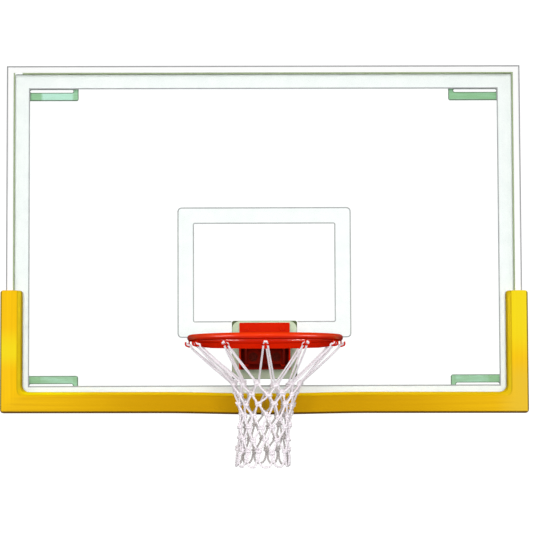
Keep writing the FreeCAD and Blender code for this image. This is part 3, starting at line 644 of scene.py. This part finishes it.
def roundPad(bm, low, high):
    p, hair = padShape, padShape["hair"]
    edgeX, edgeZ = low.x + p["edge"], low.z + p["edge"]
    chamferBack = low.y + p["chamferDepth"]

    def near(a, b):
        return abs(a - b) < hair

    def edgesWhere(test):
        # edges with both ends where the test holds
        return [e for e in bm.edges if all(test(v.co) for v in e.verts)]

    def outlineAt(depth, test):
        # edges at that depth whose middles pass the test
        return [e for e in edgesWhere(lambda c: near(c.y, depth))
                if test((e.verts[0].co + e.verts[1].co) / 2)]

    def atSeam(c):
        return near(c.x, high.x)

    def atTop(c):
        return near(c.z, high.z)

    def onMitre(c):
        return near(c.x - edgeX, c.z - edgeZ)

    def wellIn(c):
        return c.x - edgeX > p["cover"] - p["chamfer"] - hair and c.y < p["frontBack"] + hair

    def farOut(c):
        return near(c.x, low.x)

    def between(c):
        return c.z < high.z - hair and c.x < high.x - p["seamClear"]

    def outside(c):
        return (c.x < edgeX or c.z < edgeZ) and between(c)

    def inside(c):
        return c.x > edgeX and c.z > edgeZ and between(c)

    def alongChamfer(c):
        return near(c.y, chamferBack) and c.x < high.x - p["chamferClear"]

    bevelEdges(bm, edgesWhere(atSeam), *padRounds["seam"])
    bevelEdges(bm, edgesWhere(lambda c: onMitre(c) and wellIn(c)), *padRounds["inner"])
    bevelEdges(bm, edgesWhere(lambda c: onMitre(c) and farOut(c)), *padRounds["corner"])
    bevelEdges(bm, edgesWhere(lambda c: atTop(c) and wellIn(c)), *padRounds["top"])
    bevelEdges(bm, edgesWhere(lambda c: atTop(c) and farOut(c)), *padRounds["top"])
    bevelEdges(bm, outlineAt(low.y, inside), *padRounds["chamfer"])
    bevelEdges(bm, edgesWhere(alongChamfer), *padRounds["chamfer"])
    bevelEdges(bm, outlineAt(low.y, outside), *padRounds["front"])
    bevelEdges(bm, outlineAt(high.y, outside), *padRounds["rear"])
    bevelEdges(bm, [e for e in edgesWhere(atTop) if len(e.link_faces) == 2], *padRounds["end"])


def makePads():
    low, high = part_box("edge_pad_left")
    edgeX, edgeZ = low.x + padShape["edge"], low.z + padShape["edge"]
    bm = bmesh.new()
    end = bm.faces.new([bm.verts.new((edgeX + inward, y, high.z)) for inward, y in padProfile(low, high)])
    grown = bmesh.ops.extrude_face_region(bm, geom=[end])
    for v in newVerts(grown):
        v.co.z = edgeZ + v.co.x - edgeX
    corner = newFace(grown)
    grown = bmesh.ops.extrude_face_region(bm, geom=[corner])
    for v in newVerts(grown):
        v.co.x = high.x
    bmesh.ops.delete(bm, geom=[corner], context="FACES_ONLY")
    bmesh.ops.recalc_face_normals(bm, faces=bm.faces)
    bmesh.ops.dissolve_limit(bm, angle_limit=0.01, verts=bm.verts, edges=bm.edges)
    roundPad(bm, low, high)
    for k in range(padShape["bowCuts"]):
        place = (-padHang["reach"] * (k + 1) / padShape["bowCuts"], 0, 0)
        bmesh.ops.bisect_plane(bm, geom=[*bm.verts, *bm.edges, *bm.faces], dist=1e-6, plane_co=place,
                               plane_no=(1, 0, 0))
    mirrored = bm.copy()
    bmesh.ops.scale(mirrored, vec=(-1, 1, 1), verts=mirrored.verts)
    bmesh.ops.reverse_faces(mirrored, faces=mirrored.faces)
    hangPad(bm)
    hangPad(mirrored)
    left = makePiece("padLeft", bm, "board", padYellow)
    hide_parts("edge_pad_left")
    right = makePiece("padRight", mirrored, "board", padYellow)
    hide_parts("edge_pad_right")


makePads()
print("pads made")


# Rods and cords that follow a smooth route
def bareMesh(holder):
    # the holder's shape as a bmesh; the holder itself goes
    bpy.context.scene.collection.objects.link(holder)
    mesh = bpy.data.meshes.new_from_object(holder.evaluated_get(bpy.context.evaluated_depsgraph_get()))
    curve = holder.data
    bpy.data.objects.remove(holder)
    bpy.data.curves.remove(curve)
    bm = bmesh.new()
    bm.from_mesh(mesh)
    bpy.data.meshes.remove(mesh)
    return bm


def tubeMesh(name, routes, radius, rounding, order=3, steps=5):
    # routes are control points of open NURBS splines
    curve = bpy.data.curves.new(name, "CURVE")
    curve.dimensions = "3D"
    curve.bevel_depth = radius
    curve.bevel_resolution = rounding
    curve.use_fill_caps = True
    for points in routes:
        spline = curve.splines.new("NURBS")
        spline.points.add(len(points) - 1)
        for point, place in zip(spline.points, points):
            point.co = (*place, 1.0)
        spline.order_u = order
        spline.use_endpoint_u = True
        spline.resolution_u = steps
    return bareMesh(bpy.data.objects.new(name, curve))


# Cord laid from three strands; around holds the degrees of the points on each strand's outer side
rope = {"strands": 3, "around": (-66, -22, 22, 66), "pitch": 0.024, "spacing": 0.0032, "rounds": 2}


def rounded(points):
    # each corner cut twice at a quarter of its sides, then long runs split
    for _ in range(rope["rounds"]):
        cut = [points[0]]
        for a, b in zip(points, points[1:]):
            cut += [a.lerp(b, 0.25), a.lerp(b, 0.75)]
        points = cut + [points[-1]]
    dense = [points[0]]
    for a, b in zip(points, points[1:]):
        parts = max(1, math.ceil((b - a).length / rope["spacing"]))
        dense += [a.lerp(b, k / parts) for k in range(1, parts + 1)]
    return dense


def ropeSection(name, radius):
    # outline of three round strands that touch
    curve = bpy.data.curves.new(name, "CURVE")
    spline = curve.splines.new("POLY")
    strand = radius / (1 + 2 / math.sqrt(3))
    places = []
    for k in range(rope["strands"]):
        middle = 2 * math.pi * k / rope["strands"]
        for degrees in rope["around"]:
            turn = middle + math.radians(degrees)
            places.append((radius - strand) * Vector((math.cos(middle), math.sin(middle)))
                          + strand * Vector((math.cos(turn), math.sin(turn))))
    spline.points.add(len(places) - 1)
    for point, place in zip(spline.points, places):
        point.co = (place.x, place.y, 0.0, 1.0)
    spline.use_cyclic_u = True
    return bpy.data.objects.new(name, curve)


def ropeMesh(name, routes, radius):
    section = ropeSection(name + "Section", radius)
    bpy.context.scene.collection.objects.link(section)
    curve = bpy.data.curves.new(name, "CURVE")
    curve.dimensions = "3D"
    curve.bevel_mode = "OBJECT"
    curve.bevel_object = section
    curve.use_fill_caps = True
    for route in routes:
        points = rounded(route)
        spline = curve.splines.new("POLY")
        spline.points.add(len(points) - 1)
        run, last = 0.0, points[0]
        for point, place in zip(spline.points, points):
            run += (place - last).length
            last = place
            point.co = (*place, 1.0)
            point.tilt = 2 * math.pi * run / rope["pitch"]
    bm = bareMesh(bpy.data.objects.new(name, curve))
    outline = section.data
    bpy.data.objects.remove(section)
    bpy.data.curves.remove(outline)
    return bm


def onRing(radius, turn, drop, aside=0.0):
    # a point at that radius and turn round the hoop, drop below its middle, and aside along the tangent
    return Vector((ringCentre.x + radius * math.sin(turn) + aside * math.cos(turn),
                   ringCentre.y - radius * math.cos(turn) + aside * math.sin(turn),
                   ringCentre.z - drop))


# Hooks: one bent rod each, a post under the hoop with an open cup on both sides.
# Half a hook runs from its tip to the top of the post: aside, drop and out from the radius.
hook = {"count": 12, "wire": 0.0022, "rounding": 3, "radius": 0.2426,
        "half": ((0.0064, 0.0122, 0.0112), (0.0078, 0.0185, 0.0122), (0.0112, 0.0245, 0.0104),
                 (0.0122, 0.02775, 0.0), (0.0009, 0.02775, 0.0), (0.0009, 0.0180, 0.0),
                 (0.0009, 0.0065, 0.0))}


def makeHooks():
    path = [(-aside, drop, out) for aside, drop, out in hook["half"]] + list(reversed(hook["half"]))
    routes = []
    for i in range(hook["count"]):
        turn = 2 * math.pi * i / hook["count"]
        routes.append([onRing(hook["radius"] + out, turn, drop, aside) for aside, drop, out in path])
    bm = tubeMesh("hooks", routes, hook["wire"], hook["rounding"])
    piece = makePiece("hooks", bm, "rim", braceRed)
    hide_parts("net_hooks")


makeHooks()
print("hooks made")

# Net: twelve loops of cord, knotted where they meet. Rows of knots have a radius and a drop each;
# the bottom loop has shares of its fall and of the way to its middle.
netShape = {"cord": 0.0036, "knotAway": 0.0036, "knotHalf": 0.0043,
            "radii": (0.110, 0.098, 0.088, 0.081, 0.078, 0.077, 0.079),
            "drops": (0.148, 0.179, 0.212, 0.248, 0.284, 0.322, 0.361),
            "bottomRadius": 0.085, "bottomDrop": 0.4025,
            "bottom": ((0.35, 0.10), (0.78, 0.22), (1.06, 0.62), (1.06, 1.0)),
            "bight": 0.2486, "bightDrop": 0.0180, "bightSpread": 0.55, "overCup": 0.0005, "inside": 0.2368,
            "intoCup": 0.0015, "cupDrop": 0.0219, "cupAside": 0.00675, "cupTurn": 0.003, "lowDrop": 0.0310,
            "slack": 0.004, "wander": 0.0050, "sway": 0.0090, "swayFrom": 0.232, "twist": 0.14,
            "twistFrom": 0.150, "seed": 11}

# A knot is a lashing of nearly two turns round both cords, in cord radii, with its own squash and tilt
knotShape = {"segments": 7, "thick": 0.95, "reach": 1.75, "rise": 1.9, "steps": 18, "turns": 1.7,
             "wide": (1.05, 1.35), "deep": 0.9, "tall": (0.9, 1.25), "lean": 0.5, "nod": 0.3}


def netPlace(radius, turn, drop, aside=0.0):
    # the net hangs a little to one side
    share = (drop - netShape["swayFrom"]) / (netShape["bottomDrop"] - netShape["swayFrom"])
    return onRing(radius, turn, drop, aside) - Vector((netShape["sway"] * share, 0, 0))


def twistAt(drop):
    # the net also turns as it hangs, so that the far meshes show between the near ones
    share = (drop - netShape["twistFrom"]) / (netShape["bottomDrop"] - netShape["twistFrom"])
    return netShape["twist"] * max(0.0, share)


def netKnots(rng):
    knots = {}
    for row, (radius, drop) in enumerate(zip(netShape["radii"], netShape["drops"])):
        for i in range(hook["count"]):
            turn = 2 * math.pi * (i + (0.5 if row % 2 == 0 else 0.0)) / hook["count"]
            jog = [rng.uniform(-1, 1) * netShape["wander"] for _ in range(3)]
            knots[row, i] = (radius + jog[0], turn + twistAt(drop) + jog[1] / radius, drop + jog[2])
    return knots


def turnNear(turn, middle):
    while turn - middle > math.pi:
        turn -= 2 * math.pi
    while turn - middle < -math.pi:
        turn += 2 * math.pi
    return turn


def halfLoop(knots, i, side, rng):
    # from the middle of the bight to the middle of the bottom loop
    count, s = hook["count"], netShape
    middle = 2 * math.pi * i / count
    cup = side * s["cupAside"]
    route = [onRing(s["bight"], middle, s["bightDrop"]),
             onRing(s["bight"], middle, s["bightDrop"], cup * s["bightSpread"]),
             onRing(s["bight"] - s["overCup"], middle, s["cupDrop"], cup),
             onRing(s["inside"] + s["intoCup"], middle, s["cupDrop"], cup),
             onRing(s["inside"], middle, s["cupDrop"] + s["cupTurn"], cup),
             onRing(s["inside"], middle, s["lowDrop"], cup)]
    for row in range(len(s["radii"])):
        outer = row % 2 == 0
        key = (i - 1) % count if outer and side < 0 else i
        radius, turn, drop = knots[row, key]
        turn = turnNear(turn, middle)
        away = -side * s["knotAway"] if outer else side * s["knotAway"]
        above = netPlace(radius, turn, drop - s["knotHalf"], away)
        below = netPlace(radius, turn, drop + s["knotHalf"], away)
        if row == 0:
            route.append(route[-1].lerp(above, 0.5) - Vector((0, 0, rng.uniform(0.0, s["slack"]))))
        route += [above, below]
    fall, bottom = s["bottomDrop"] - drop, middle + s["twist"]
    for share, toMiddle in s["bottom"]:
        route.append(netPlace(s["bottomRadius"], turn + (bottom - turn) * toMiddle, drop + fall * share))
    return route


def knotMesh(bm, place, turn, rng):
    k, cord = knotShape, netShape["cord"]
    made = bmesh.ops.create_circle(bm, segments=k["segments"], radius=cord * k["thick"])["verts"]
    bmesh.ops.rotate(bm, verts=made, cent=(0, 0, 0), matrix=Matrix.Rotation(math.pi / 2, 3, "X"))
    bmesh.ops.translate(bm, verts=made, vec=(cord * k["reach"], 0, -cord))
    edges = list({e for v in made for e in v.link_edges})
    bmesh.ops.spin(bm, geom=made + edges, cent=(0, 0, 0), axis=(0, 0, 1), angle=2 * math.pi * k["turns"],
                   dvec=(0, 0, cord * k["rise"] * k["turns"] / k["steps"]), steps=k["steps"], use_merge=False)
    start = made[0]
    seen, queue = {start}, [start]
    while queue:
        for e in queue.pop().link_edges:
            for v in e.verts:
                if v not in seen:
                    seen.add(v)
                    queue.append(v)
    verts = list(seen)
    ends = [e for v in verts for e in v.link_edges if e.is_boundary]
    bmesh.ops.holes_fill(bm, edges=list(set(ends)), sides=0)
    squash = Matrix.Diagonal((rng.uniform(*k["wide"]), k["deep"], rng.uniform(*k["tall"]), 1))
    lean = Matrix.Rotation(rng.uniform(-k["lean"], k["lean"]), 4, "Y")
    nod = Matrix.Rotation(rng.uniform(-k["nod"], k["nod"]), 4, "X")
    stand = Matrix.Translation(place) @ Matrix.Rotation(turn, 4, "Z")
    bmesh.ops.transform(bm, matrix=stand @ lean @ nod @ squash, verts=verts)


def makeNet():
    rng = random.Random(netShape["seed"])
    knots = netKnots(rng)
    routes = []
    for i in range(hook["count"]):
        right, left = halfLoop(knots, i, 1, rng), halfLoop(knots, i, -1, rng)
        routes.append(list(reversed(left))[:-1] + right)
    bm = ropeMesh("netCords", routes, netShape["cord"])
    cords = makePiece("netCords", bm, "rim", netCord, sharp=80)
    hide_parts("net")
    bm = bmesh.new()
    for radius, turn, drop in knots.values():
        knotMesh(bm, netPlace(radius, turn, drop), turn, rng)
    makePiece("netKnots", bm, "rim", netCord, sharp=80)


makeNet()
print("net made")

# Return springs, between seat and lever
springShape = {"wire": 0.00175, "segments": 10, "radius": 0.0125, "turns": 4.6, "steps": 26, "endTurn": 0.85,
               "endPitch": 2.05, "keep": 0.26}


def makeSpring(node, name):
    low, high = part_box(node)
    x, z = (low.x + high.x) / 2, (low.z + high.z) / 2
    wire, radius, endTurn = springShape["wire"], springShape["radius"], springShape["endTurn"]
    bm = bmesh.new()
    made = bmesh.ops.create_circle(bm, segments=springShape["segments"], radius=wire)["verts"]
    bmesh.ops.translate(bm, verts=made, vec=(x + radius, high.y - wire, z))
    geom = made + list({e for v in made for e in v.link_edges})
    length = high.y - low.y - 2 * wire
    endRise = wire * springShape["endPitch"] * endTurn
    runs = ((endTurn, endRise), (springShape["turns"], length - 2 * endRise), (endTurn, endRise))
    for turns, rise in runs:
        steps = round(springShape["steps"] * turns)
        grown = bmesh.ops.spin(bm, geom=geom, cent=(x, 0, z), axis=(0, 1, 0), angle=2 * math.pi * turns,
                               dvec=(0, -rise / steps, 0), steps=steps, use_merge=False)
        geom = grown["geom_last"]
    bmesh.ops.holes_fill(bm, edges=[e for e in bm.edges if e.is_boundary], sides=0)
    piece = makePiece(name, bm, "board", plain["springSteel"], sharp=60)
    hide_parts(node)
    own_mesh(piece)


makeSpring("spring_left", "returnSpringLeft")
makeSpring("spring_right", "returnSpringRight")
print("springs made")

# Floor and room
stageLook = {"floorDrop": 3.05, "floorRadius": 2.2, "floorSides": 96, "floorLight": (0.86, 0.86, 0.86, 1),
             "floorShade": (0.82, 0.82, 0.82, 1), "white": 1.08, "sky": 0.26, "ground": 0.07,
             "skyline": (-0.25, 0.35), "mirrored": 0.4}


def makeStage():
    bm = bmesh.new()
    bmesh.ops.create_circle(bm, cap_ends=True, segments=stageLook["floorSides"],
                            radius=stageLook["floorRadius"])
    bmesh.ops.translate(bm, verts=bm.verts, vec=(0, ringCentre.y, ringCentre.z - stageLook["floorDrop"]))
    mesh = bpy.data.meshes.new("floor")
    bm.to_mesh(mesh)
    bm.free()
    floor = bpy.data.objects.new("floor", mesh)
    bpy.context.scene.collection.objects.link(floor)
    pale = Finish("paleFloor", Roughness=0.8)
    pale.colour(pale.noise(scale=3.0).step(0.3, 0.7).mix(stageLook["floorLight"], stageLook["floorShade"]))
    mesh.materials.append(pale.material)

    world = bpy.data.worlds.new("studio")
    bpy.context.scene.world = world
    world.use_nodes = True
    world.cycles.sampling_method = "NONE"  # so that mirrored rays see their own, darker room
    tree = world.node_tree
    wire = Wire(tree)
    back = tree.nodes["Background"]
    back.inputs["Color"].default_value = (1, 1, 1, 1)
    way = wire.add("ShaderNodeTexCoord", out="Generated")
    height = Wire(tree, wire.add("ShaderNodeSeparateXYZ", None, {0: way}).socket.node.outputs[2])
    glow = stageLook["ground"] + height.step(*stageLook["skyline"]) * (stageLook["sky"] - stageLook["ground"])
    seen = wire.add("ShaderNodeLightPath", out="Is Camera Ray")
    mirrored = wire.add("ShaderNodeLightPath", out="Is Glossy Ray")
    glow = glow * (1.0 - mirrored * (1.0 - stageLook["mirrored"]))
    (glow * (1.0 - seen) + seen * stageLook["white"]).feed(back, "Strength")


# Lamps: two that only light, two strips that only glint on the hoop, and one behind
lamps = {"frontLamp": {"place": (0.0, -7.0, -0.1), "target": (0, 0, -0.1), "size": (3.2, 1.6), "watts": 330,
                       "glints": False},
         "keyLamp": {"place": (-0.4, -6.6, 2.9), "target": (0, -0.3, -0.2), "size": (3.4, 1.7), "watts": 122,
                     "glints": False},
         "leftStrip": {"place": (-2.6, -1.9, -0.28), "target": (-0.1, -0.6, -0.38), "size": (1.4, 0.35),
                       "watts": 165, "lights": False},
         "rightStrip": {"place": (2.6, -1.9, -0.28), "target": (0.1, -0.6, -0.38), "size": (1.4, 0.35),
                        "watts": 165, "lights": False},
         "rearLamp": {"place": (0.6, 3.4, 1.6), "target": (0, 0, 0), "size": (3.2, 2.2), "watts": 120}}


def makeLamp(name, place, target, size, watts, lights=True, glints=True):
    lamp = bpy.data.lights.new(name, "AREA")
    lamp.shape = "RECTANGLE"
    lamp.size, lamp.size_y = size
    lamp.energy = watts
    holder = bpy.data.objects.new(name, lamp)
    bpy.context.scene.collection.objects.link(holder)
    holder.location = place
    holder.rotation_euler = (Vector(target) - Vector(place)).to_track_quat("-Z", "Y").to_euler()
    holder.visible_camera = False
    holder.visible_diffuse = lights
    holder.visible_glossy = glints


# Camera, fitted to the photo's lines; angles in degrees
photoView = {"place": (-0.0182, -3.9728, -0.4933), "lift": 2.0, "turn": -0.3588, "roll": 0.2142,
             "lens": 75.083, "sensor": 36.0, "shift": (0.0, 0.1306)}


def makeCamera():
    data = bpy.data.cameras.new("photoCamera")
    data.lens = photoView["lens"]
    data.sensor_width = photoView["sensor"]
    data.shift_x, data.shift_y = photoView["shift"]
    holder = bpy.data.objects.new("photoCamera", data)
    bpy.context.scene.collection.objects.link(holder)
    holder.location = photoView["place"]
    holder.rotation_euler = [math.radians(angle) for angle in (90 + photoView["lift"], photoView["roll"],
                                                               photoView["turn"])]
    bpy.context.scene.camera = holder


makeStage()
for lampName, lampLook in lamps.items():
    makeLamp(lampName, **lampLook)
makeCamera()
bpy.context.scene.view_settings.view_transform = "Standard"
bpy.context.scene.view_settings.look = "None"
print("stage made")
